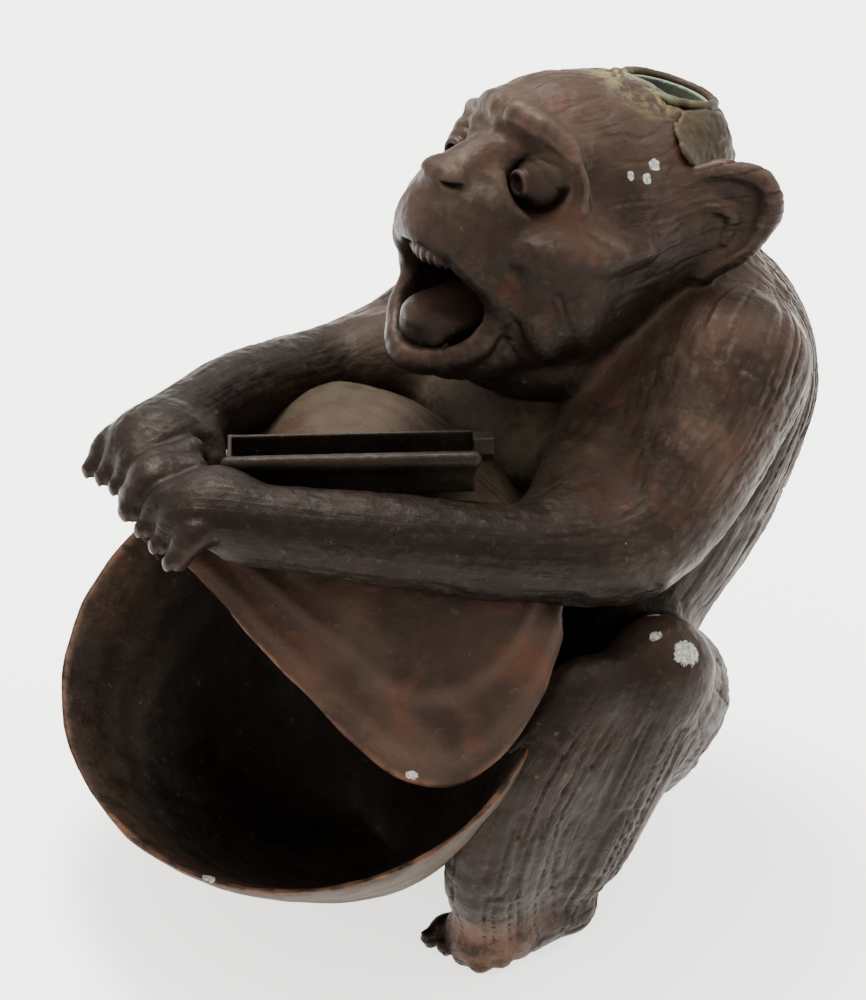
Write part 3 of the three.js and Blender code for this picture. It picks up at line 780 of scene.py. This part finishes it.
def engraved(across, along, width, length, seed):
    """Long grooves with soft ridges between them, from -1 at the bottom of a groove to about 0.4."""
    wander = 0.5 * noise(np.stack([across, along, 0 * along], 1), (6 * width, length, 9), seed + 7)
    lanes = np.stack([across / width + wander, along / length, 0 * along + seed], 1)
    broad = noise(lanes, 1, seed)
    fine = noise(lanes * np.array([2.3, 1.4, 1]), 1, seed + 3)
    return 0.4 - 1.4 * (1 - np.minimum(np.abs(broad) * 2.6, 1)) ** 2 + 0.35 * fine


def fur(p):
    """The fur's relief at each point, the along and across of its nearest lock, and its strength."""
    total, force, weight = np.zeros(len(p)), np.zeros(len(p)), np.full(len(p), 1e-9)
    nearest = np.full(len(p), 1e9)
    along_at, across_at = np.zeros(len(p)), np.zeros(len(p))
    for seed, (mapped, strength, width, length) in enumerate(FUR):
        distance, along, across, share = mapped(p)
        pull = np.exp(-np.clip(distance, -4, 60) / 1.6)
        height = strength(p, share) * engraved(across, along, width, length, seed)
        total += pull * height
        force += pull * np.minimum(strength(p, share) * 3.2, 1)
        weight += pull
        closer = distance < nearest
        for kept, found in ((nearest, distance), (along_at, along), (across_at, across)):
            kept[closer] = found[closer]
    return total / weight, along_at, across_at, force / weight


# Places where the patina is chipped down to bright metal: middle and radii.
CHIPS = [
    ((59.1, 30.8, 70.1), (2.6, 3.4, 4.4)), ((48.3, 30.9, 71.6), (1.3, 1.6, 1)),
    ((54.5, 26.7, 72), (1.2, 1.6, 1.2)), ((33.1, 73.7, 112.1), (2.4, 2.6, 5)),
    ((18.7, 49.7, 145.4), (1.1, 1.5, 2)), ((19.8, 47.2, 143.7), (0.9, 1.1, 1.5)),
    ((19, 44.3, 144.8), (0.9, 0.9, 1.3)), ((46.6, -20.6, 54.8), (1.7, 1.6, 1.1)),
    ((26.6, -51.9, 33), (3.2, 1.6, 1)), ((41.7, -43.3, 37.4), (1.4, 1.2, 0.8))]


def away(p, middle, radii):
    """How far each point is from middle, counted in radii."""
    return np.linalg.norm((p - np.array(middle, float)) / np.array(radii, float), axis=1)


def closeness(p, places):
    return np.maximum(-1.0, np.max([1 - away(p, middle, radii) for middle, radii in places], axis=0))


def painted_light_and_shade(p, normals):
    """Painted light and shade: how pale the patina is painted, most on faces that look up, less on the
    arms and least on the legs.
    """
    legs = smooth_step(80, 62, p[:, 2])
    arms = smooth_step(40, 5, p[:, 1]) * smooth_step(118, 108, p[:, 2])
    return smooth_step(-0.35, 0.8, normals[:, 2]) * (1 - 0.95 * legs) * (1 - 0.85 * arms)


def skin_layers(p, normals, rise, along, across):
    crown = np.array([1, 58, 152])
    from_crown = np.linalg.norm((p - crown) * [1, 1, 1.2], axis=1)
    chest = away(p, (0, 12, 96), (34, 26, 16))
    foot = away(p, (42, 0, 10), (10, 14, 12))
    # the layer of painted light and shade: paler on faces that look up, darker on faces that look down and
    # on the limbs
    return {"relief": rise, "bare": closeness(p, CHIPS), "painted_light_up": painted_light_and_shade(p, normals),
            "fur_along": along * 0.001, "fur_across": across * 0.001,
            "residue": smooth_step(14, 5, from_crown), "dust": smooth_step(1.3, 0.5, chest),
            "copper": 0.55 * smooth_step(1.2, 0.4, foot)}


def sculpt(name, step, low, high):
    """One piece of the monkey: the shared body, cut to this piece, then given its fur."""
    field = piece_field(name)
    verts, faces = surface_net(field, low, high, step * COARSE)
    verts, normals = settled(field, verts, faces, step)
    outer = smooth_step(-0.8, -0.15, body_distance(verts)) * smooth_step(0.15, 0.9, hollows(verts))
    height, along, across, force = fur(verts)
    rough = 0.13 * noise(verts, 2.6, 5) + 0.07 * noise(verts, 0.9, 6)
    if name == "head_casting":
        height = height + creases(verts)
    verts = verts + normals * (outer * (height + rough))[:, None]
    rise = relief(verts, faces, normals)
    layers = skin_layers(verts, normals, rise, along, across)
    layers["hair"] = force * outer
    return make_mesh(name + "_form", verts, faces, layers)


def cast(name, form, step, roughness):
    """A small separate piece from its own form."""
    def field(p):
        return form_distance(form, p)
    low, high = form_box([part for part in form if not part.cut])
    verts, faces = surface_net(field, low, high, step * COARSE)
    verts, normals = settled(field, verts, faces, step)
    verts = verts + normals * (roughness * (noise(verts, 1.1, 8) + 0.6 * noise(verts, 3.1, 9)))[:, None]
    layers = skin_layers(verts, normals, relief(verts, faces, normals), verts[:, 1], verts[:, 0])
    return make_mesh(name + "_form", verts, faces, layers)


# ---- valves as meshes ----
def bowl_point(turn, s, inset):
    forward = (BOWL_HALF_DEPTH - inset) * np.sin(turn)
    rim_x = (BOWL_HALF_WIDTH - inset) * np.cos(turn)
    rim_y, rim_z = BOWL_Y - forward * math.cos(BOWL_TILT), BOWL_Z - forward * math.sin(BOWL_TILT)
    reach, floor = s ** 0.95, FLOOR_Z + inset
    height = floor + (rim_z - floor) * s ** 1.5
    return np.stack([rim_x * reach, FLOOR_Y + (rim_y - FLOOR_Y) * reach, height], -1)


def dome_point(turn, s, inset):
    reach, edge_z = margin(turn)
    reach = reach - inset * 0.9
    edge_z = edge_z - inset * 0.35
    top = DOME_Z - inset
    away = np.stack([np.cos(turn) * reach * s, DOME_Y + np.sin(turn) * reach * s], -1)
    return np.concatenate([away, (top + (edge_z - top) * s ** DOME_CURVE)[..., None]], -1)


def bands(turn, s, count, seed):
    """Growth bands: ridges that follow the margin, stronger and closer towards it."""
    ring = np.stack([np.cos(turn) * 3, np.sin(turn) * 3, s * 2], -1).reshape(-1, 3)
    warp = noise(ring, 1.0, seed).reshape(turn.shape)
    phase = count * s ** 1.4 + 0.35 * warp
    broad = noise(np.stack([phase.ravel(), 0.3 * warp.ravel(), 0 * phase.ravel()], 1), 1.0, seed + 1)
    return broad.reshape(turn.shape) * (0.25 + 0.75 * s ** 2)


def closed(values, middle=0):
    """The values of a shell's points, with one more for each of the two points that close it."""
    return np.append(values, [middle, middle])


# Where the worn rim starts and how wide it is, as shares of the way out to the margin.
RIM_FROM, RIM_WIDTH, RIM_STEPS = 0.93, 0.07, 15


def valve(name, point, around, rings, count, sign):
    """A shell: an outer and an inner face that meet in a rounded, worn rim. It has count growth bands,
    and sign is -1 for the shell whose outer face looks up."""
    turn = np.linspace(0, 2 * math.pi, around, endpoint=False)
    rim = RIM_FROM + RIM_WIDTH * np.linspace(0, 1, RIM_STEPS)[1:]
    t, s = np.meshgrid(turn, np.concatenate([np.linspace(0.004, RIM_FROM, rings), rim]))
    edge = np.clip((s - RIM_FROM) / RIM_WIDTH, 0, 1)
    rounding = SHELL_WALL * 0.5 * (1 - np.sqrt(1 - edge ** 2 * 0.999))
    faces_at = [point(t, s, inset) for inset in (rounding, SHELL_WALL - rounding)]
    top, t, s = (np.concatenate([a, b[::-1][1:]]) for a, b in (faces_at, (t, t), (s, s)))
    verts = top.reshape(-1, 3)
    grid = np.arange(len(verts)).reshape(-1, around)
    nxt = np.roll(grid, -1, axis=1)
    faces = np.stack([grid[:-1], nxt[:-1], nxt[1:], grid[1:]], -1).reshape(-1, 4)
    faces = faces[:, ::-1] if sign < 0 else faces
    caps = [(grid[0], faces_at[0][0].mean(0)), (grid[-1], faces_at[1][0].mean(0))]
    tris = []
    for i, (ring, middle) in enumerate(caps):
        verts = np.vstack([verts, middle])
        centre = np.full(around, len(verts) - 1)
        pair = (ring, np.roll(ring, -1)) if (i == 0) != (sign > 0) else (np.roll(ring, -1), ring)
        tris.append(np.stack([centre, *pair], -1))
    normal = np.cross(np.gradient(top, axis=1), np.gradient(top, axis=0)).reshape(-1, 3)
    normal = normal / np.maximum(np.linalg.norm(normal, axis=1), 1e-9)[:, None] * sign
    wave = (0.22 if sign > 0 else 0.36) * bands(t, s, count, 21).ravel()
    lump = 0.22 * noise(top.reshape(-1, 3), 7, 22) + 0.05 * noise(top.reshape(-1, 3), 1.6, 23)
    near_rim = smooth_step(0.97, 1.0, s).ravel()
    ragged = near_rim * 0.35 * noise(top.reshape(-1, 3), (5, 5, 5), 24)
    verts[:-2] += normal * (wave * (1 - near_rim) + lump + ragged)[:, None]
    worn = smooth_step(0.982, 0.999, s).ravel() * (0.6 + 0.5 * noise(top.reshape(-1, 3), 9, 25))
    blush = smooth_step(0.8, 0.97, s).ravel() * smooth_step(-0.2, 0.7, noise(top.reshape(-1, 3), 26, 26))
    dust = away(verts, (0, 12, 96), (40, 30, 16))
    # the layer of painted light and shade makes the shell paler where its face looks up and darker where
    # it looks down
    layers = {"relief": closed(wave * 0.4), "copper": closed(np.maximum(worn, blush * 0.25)),
              "bare": closeness(verts, CHIPS), "residue": 0 * dust,
              "fur_along": closed(s * 60 * 0.001), "fur_across": closed(t * 20 * 0.001),
              "dust": smooth_step(1.3, 0.5, dust) if name == "upper_shell" else 0.35 + 0 * dust,
              "painted_light_up": closed(smooth_step(-0.35, 0.8, normal[:, 2]), 1)}
    return make_mesh(name + "_form", verts, [faces, np.vstack(tris)], layers)


# ---- the socket and the channel ----
SOCKET_TILT = 0.35
SOCKET_AT = np.array([0.0, 66.0, 149.0])
SOCKET_AXIS = np.array([0.0, math.sin(SOCKET_TILT), math.cos(SOCKET_TILT)])
CHANNEL_TURN = 0.53
CHANNEL_AT = np.array([14.4, -12.6, 97.5])


def socket_drum(heights, radii, **more):
    return Drum(SOCKET_AT, SOCKET_AXIS, heights, radii, **more)


def on_dome(form):
    """A form drawn in the channel's own frame: +Y along it, z = 0 under its floor."""
    return [Placed(part, (0, 0, -CHANNEL_TURN), CHANNEL_AT, np.zeros(3)) for part in form]


def channel_form():
    """A folded sheet trough: floor, back wall, front wall with a rolled lip, and one closed end."""
    half, wall, high, length = 4.9, 0.8, 7.2, 22.0
    lip = Limb([(half + 0.1, -length, high - 0.5), (half + 0.1, length, high - 0.5)], [0.9, 0.9])
    parts = [Slab((-half, -length, 0), (half, length, wall)),
             Slab((-half, -length, 0), (wall - half, length, high)),
             Slab((half - wall, -length, 0), (half, length, high)), lip,
             Slab((-half, -length, 0), (half, wall - length, high))]
    return on_dome(parts)


class Hexagon:
    """A six-sided lug on the channel's end."""

    k, cut = 0.3, False

    def __init__(self, centre, radius, half):
        self.centre, self.radius, self.half = np.array(centre, float), radius, half
        self.low, self.high = self.centre - radius - 1, self.centre + radius + 1

    def distance(self, p):
        q = p - self.centre
        angle = np.arctan2(q[:, 2], q[:, 0])
        sector = (angle % (math.pi / 3)) - math.pi / 6
        flat = np.hypot(q[:, 0], q[:, 2]) * np.cos(sector) - self.radius * math.cos(math.pi / 6)
        ends = np.abs(q[:, 1]) - self.half
        outside = np.hypot(np.maximum(flat, 0), np.maximum(ends, 0))
        return np.minimum(np.maximum(flat, ends), 0) + outside - 0.2


COLLAR = [socket_drum([-16, -8, -3, -0.9], [16.6, 15.8, 12.8, 11.0], edge=0.9),
          Ball((9.6, 57.5, 149.0), (2.2, 2.4, 1.5), k=2.0),
          socket_drum([-20, 9], [8.6, 8.6], cut=True, k=0.3)]


class Foil:
    """A thin torn patch that follows the crown, with its lower front corner lifted."""

    k, cut = 1.0, False

    def __init__(self, middle, radii, thick, corner, lift):
        self.outline = Ball(middle, radii)
        self.thick, self.corner, self.lift = thick, np.array(corner, float), lift
        self.low, self.high = self.outline.low, self.outline.high

    def distance(self, p):
        near = smooth_step(6.5, 0.5, np.linalg.norm(p - self.corner, axis=1))
        collar_at = form_distance(COLLAR, p)
        under = smooth_min(form_distance(SKULL, p), collar_at, 2.0)
        sheet = np.abs(under - 0.6 - self.lift * near) - self.thick
        torn = self.outline.distance(p) + 0.5 * noise(p, 1.8, 41)
        return np.maximum(sheet, torn)


# ---- materials ----
class Paint:
    """Lays out the nodes of one material or world."""

    def __init__(self, owner, shader="Principled BSDF", place="Object"):
        owner.use_nodes = True
        self.owner, self.nodes, self.links = owner, owner.node_tree.nodes, owner.node_tree.links
        self.shader = self.nodes[shader]
        self.place = self.add("ShaderNodeTexCoord").outputs[place]

    def add(self, kind, inputs=None, **settings):
        made = self.nodes.new(kind)
        for key, value in settings.items():
            setattr(made, key, value)
        for key, value in (inputs or {}).items():
            self.feed(made.inputs[key], value)
        return made

    def feed(self, socket, value):
        if isinstance(value, bpy.types.NodeSocket):
            self.links.new(value, socket)
        elif isinstance(value, tuple) and socket.type == "RGBA":
            socket.default_value = (*value, 1.0)
        else:
            socket.default_value = value

    def layer(self, name):
        return self.add("ShaderNodeAttribute", attribute_name=name).outputs["Fac"]

    def grain(self, scale, detail=4.0, rough=0.6, at=None, warp=0.0):
        inputs = {"Vector": at or self.place, "Scale": scale, "Detail": detail, "Roughness": rough,
                  "Distortion": warp}
        return self.add("ShaderNodeTexNoise", inputs).outputs["Fac"]

    def sums(self, kind, a, b, clamp=False):
        return self.add("ShaderNodeMath", {0: a, 1: b}, operation=kind, use_clamp=clamp).outputs[0]

    def times(self, a, b):
        return self.sums("MULTIPLY", a, b)

    def band(self, value, low, high, to_low=0.0, to_high=1.0, easing="SMOOTHSTEP"):
        """value from low..high turned into to_low..to_high."""
        inputs = {"Value": value, "From Min": low, "From Max": high, "To Min": to_low, "To Max": to_high}
        return self.add("ShaderNodeMapRange", inputs, interpolation_type=easing).outputs["Result"]

    def mix(self, amount, a, b, kind="MIX"):
        inputs = {"Fac": amount, "Color1": a, "Color2": b}
        return self.add("ShaderNodeMixRGB", inputs, blend_type=kind).outputs[0]

    def bump(self, height, strength, distance, under=None):
        inputs = {"Height": height, "Strength": strength, "Distance": distance}
        if under is not None:
            inputs["Normal"] = under
        return self.add("ShaderNodeBump", inputs).outputs["Normal"]

    def finish(self, **inputs):
        """Feeds the shader's own inputs, named with _ for each space; returns the material or world."""
        for key, value in inputs.items():
            self.feed(self.shader.inputs[key.replace("_", " ")], value)
        return self.owner


def patina(name, dark, brown, red, dust_colour, rough, hair):
    """Worn brown lacquer over cast metal: dust in the hollows, polish on the ridges, bare chips."""
    paint = Paint(bpy.data.materials.new(name))
    band, mix, grain, layer, times = paint.band, paint.mix, paint.grain, paint.layer, paint.times
    broad = grain(28, 3, 0.55, warp=0.4)
    patch_noise = grain(75, 5, 0.62, warp=0.8)
    fine = grain(420, 6, 0.7)
    colour = mix(band(broad, 0.38, 0.62), dark, brown)
    colour = mix(band(patch_noise, 0.5, 0.74, 0.0, 0.5), colour, red)
    rise = layer("relief")
    ridge = band(rise, 0.02, 0.22)
    hollow = band(rise, -0.02, -0.24)
    polished = tuple(min(1, c * 2.1 + 0.012) for c in brown)
    colour = mix(times(ridge, 0.45), colour, polished)
    dusty = times(layer("dust"), band(grain(130, 6, 0.7), 0.36, 0.6))
    film = band(grain(46, 4, 0.6, warp=1.0), 0.5, 0.78, 0.0, 0.42)
    dusty = paint.sums("MAXIMUM", dusty, film)
    dusty = paint.sums("MAXIMUM", dusty, times(hollow, 0.3))
    colour = mix(dusty, colour, dust_colour)
    # painted light and shade: colour scaled from 0.2 times where faces look down and on the limbs, to 1.14
    # times where they look up
    colour = mix(1.0, colour, band(layer("painted_light_up"), 0.0, 1.0, 0.2, 1.14), "MULTIPLY")
    crumbs = band(grain(240, 5, 0.65), 0.4, 0.62)
    residue = times(layer("residue"), crumbs)
    crust = mix(band(grain(90, 3), 0.45, 0.6), (0.23, 0.21, 0.085), (0.115, 0.15, 0.10))
    colour = mix(times(residue, 0.72), colour, crust)
    worn = times(layer("copper"), band(grain(170, 5, 0.7), 0.34, 0.58))
    colour = mix(times(worn, 0.8), colour, (0.15, 0.07, 0.04))
    colour = mix(band(fine, 0.58, 0.78, 0.0, 0.4), colour, (0.11, 0.085, 0.06))
    edge = paint.sums("ADD", layer("bare"), times(grain(650, 4, 0.7), 0.9))
    chip = band(edge, 0.62, 0.68)
    # painted glints: scattered bright specks that take the bare-metal colour, laid over the chips
    glint_specks = band(grain(620, 1.5, 0.55), 0.80, 0.83)
    chips_and_glints = paint.sums("MAXIMUM", chip, times(glint_specks, 0.45))
    bright = mix(band(grain(1500, 3), 0.35, 0.65), (0.15, 0.145, 0.13), (0.44, 0.43, 0.40))
    colour = mix(chips_and_glints, colour, bright)
    paint.finish(Base_Color=colour)
    finish = band(patch_noise, 0.3, 0.7, rough - 0.09, rough + 0.12)
    finish = paint.sums("ADD", finish, times(dusty, 0.22))
    finish = paint.sums("SUBTRACT", finish, times(ridge, 0.07), True)
    paint.finish(Roughness=finish, Metallic=0.12, Specular_IOR_Level=0.16, Specular_Tint=(1.0, 0.80, 0.66))
    across, along = layer("fur_across"), layer("fur_along")
    lock = paint.add("ShaderNodeCombineXYZ", {"X": across, "Y": along}).outputs[0]
    stretch = paint.add("ShaderNodeVectorMath", {0: lock, 1: (1.0, 0.09, 1.0)}, operation="MULTIPLY")
    strokes = grain(1300, 3, 0.6, at=stretch.outputs[0], warp=0.3)
    strokes = times(strokes, layer("hair"))
    normal = paint.bump(strokes, hair, 0.0007)
    normal = paint.bump(fine, 0.55, 0.0005, normal)
    normal = paint.bump(grain(150, 4, 0.6), 0.35, 0.0008, normal)
    normal = paint.bump(times(chip, -1.0), 0.6, 0.0003, normal)
    return paint.finish(Normal=normal)


def plain_ground():
    paint = Paint(bpy.data.materials.new("pale_ground"))
    colour = paint.mix(paint.band(paint.grain(3.0, 2), 0.3, 0.7), (0.90, 0.89, 0.875), (0.92, 0.91, 0.90))
    glow = {"Emission_Color": (1.0, 0.985, 0.955), "Emission_Strength": 1.9}
    return paint.finish(Base_Color=colour, Roughness=0.6, **glow,
                        Normal=paint.bump(paint.grain(300, 3), 0.03, 0.0002))


# ---- putting the figure together ----
def settle(piece, material, slot, node):
    piece.data.materials.append(material)
    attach(piece, "root")
    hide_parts(node)


SHELL_DARK, SHELL_BROWN, SHELL_RED = (0.016, 0.0095, 0.0068), (0.040, 0.023, 0.016), (0.065, 0.022, 0.013)
# For each paint: its dark, brown, red and dust colours, its roughness and the strength of its hair.
PALETTES = {
    "brown_patina": ((0.013, 0.008, 0.006), (0.035, 0.021, 0.015), (0.05, 0.017, 0.0105),
                     (0.056, 0.044, 0.027), 0.44, 0.5),
    "shell_patina": (SHELL_DARK, SHELL_BROWN, SHELL_RED, (0.042, 0.033, 0.02), 0.46, 0.0),
    "bowl_patina": (SHELL_DARK, (0.038, 0.026, 0.018), (0.055, 0.025, 0.016),
                    (0.046, 0.039, 0.026), 0.56, 0.0),
    # The sheet paint is lighter than the other patinas: painted light, standing in for the light that
    # falls inside the matchbox channel.
    "sheet_patina_painted_light": ((0.022, 0.016, 0.0115), (0.045, 0.031, 0.022), (0.055, 0.029, 0.018),
                     (0.065, 0.054, 0.036), 0.42, 0.0),
    "tube_patina": ((0.018, 0.013, 0.008), (0.038, 0.027, 0.016), (0.042, 0.022, 0.012),
                    (0.06, 0.052, 0.03), 0.5, 0.0),
    "verdigris": ((0.07, 0.09, 0.065), (0.13, 0.17, 0.125), (0.11, 0.10, 0.06),
                  (0.22, 0.28, 0.20), 0.6, 0.0)}
paints = {name: patina(name, *palette) for name, palette in PALETTES.items()}

for name, (form, _, step) in GROUPS.items():
    settle(sculpt(name, step, *form_box(form)), paints["brown_patina"], "patina", name)
for name, form, step, roughness in (("tongue", TONGUE, 0.3, 0.06), ("left_eye", LEFT_EYE, 0.25, 0.02),
                                    ("right_eye", RIGHT_EYE, 0.25, 0.02)):
    settle(cast(name, form, step, roughness), paints["brown_patina"], "patina", name)

for name, point, rings, count, sign, paint in (("lower_shell", bowl_point, 150, 17, 1, "bowl_patina"),
                                               ("upper_shell", dome_point, 130, 15, -1, "shell_patina")):
    settle(valve(name, point, 420, rings, count, sign), paints[paint], "shell_brown", name)

CUP = [socket_drum([-9, -0.2], [8.5, 8.5], edge=0.2),
       socket_drum([-8.1, 9], [7.55, 7.55], edge=0.2, k=0.2, cut=True)]
RIM = [Ring(SOCKET_AT, SOCKET_AXIS, 8.95, 1.0)]
BEAD = [Ball((-1.5, 55.3, 153.8), (1.7, 1.7, 1.5)), Ball((1.2, 55.0, 153.5), (1.3, 1.3, 1.1), k=1.0)]
PATCH = [Foil((13.2, 63.0, 144.4), (7.6, 9.2, 5.4), 0.42, (18.2, 55.2, 144.6), 0.9)]
TAB = on_dome([Hexagon((-1.8, 23.86, 5.4), 2.5, 1.6)])
for name, form, step, roughness, paint, slot in (
        ("crown_collar", COLLAR, 0.4, 0.22, "tube_patina", "socket_brown"),
        ("socket_cup", CUP, 0.3, 0.05, "verdigris", "socket_green"),
        ("socket_rim", RIM, 0.25, 0.1, "tube_patina", "socket_brown"),
        ("rim_solder_bead", BEAD, 0.25, 0.1, "tube_patina", "socket_brown"),
        ("crown_patch", PATCH, 0.22, 0.15, "tube_patina", "socket_brown"),
        ("matchbox_channel", channel_form(), 0.27, 0.04, "sheet_patina_painted_light", "sheet_brown"),
        ("channel_end_tab", TAB, 0.25, 0.08, "sheet_patina_painted_light", "sheet_brown")):
    settle(cast(name, form, step, roughness), paints[paint], slot, name)

# ---- ground, light and camera ----
bpy.ops.mesh.primitive_grid_add(x_subdivisions=60, y_subdivisions=60, size=6.0, location=(0, 0, -0.0002))
ground = bpy.context.object
ground.name = "ground"
ground.data.materials.append(plain_ground())

AZIMUTH, ELEVATION, DISTANCE = math.radians(57), math.radians(31.5), 660 * UNIT
TARGET = Vector(to_metres([0, 19, 76]))


def aimed(name, data, way, distance=1.0):
    """A camera or light placed that way from the target and turned to look at it."""
    made = bpy.data.objects.new(name, data)
    made.location = TARGET + way * distance
    made.rotation_euler = way.to_track_quat("Z", "Y").to_euler()
    bpy.context.scene.collection.objects.link(made)
    return made


def soft_box(name, offset, size, watts):
    light = bpy.data.lights.new(name, "AREA")
    light.shape, light.size, light.energy = "DISK", size, watts
    aimed(name, light, Vector(offset))


lens = bpy.data.cameras.new("view")
lens.lens, lens.sensor_width, lens.shift_x, lens.shift_y = 125, 36, -0.022, -0.003
flat = math.cos(ELEVATION)
back = Vector((math.sin(AZIMUTH) * flat, -math.cos(AZIMUTH) * flat, math.sin(ELEVATION)))
bpy.context.scene.camera = aimed("view", lens, back, DISTANCE)
soft_box("key", (-0.5, 0.15, 1.2), 0.5, 32)
soft_box("rim", (0.3, 1.0, 0.7), 0.6, 4)


def studio_world():
    """Soft light that is strongest overhead and weak near the horizon."""
    sky = Paint(bpy.data.worlds.new("studio"), "Background", "Generated")
    height = sky.add("ShaderNodeSeparateXYZ", {0: sky.place}).outputs["Z"]
    return sky.finish(Color=(1.0, 0.98, 0.95), Strength=sky.band(height, 0.0, 1.0, 0.7, 2.1, "LINEAR"))


bpy.context.scene.world = studio_world()
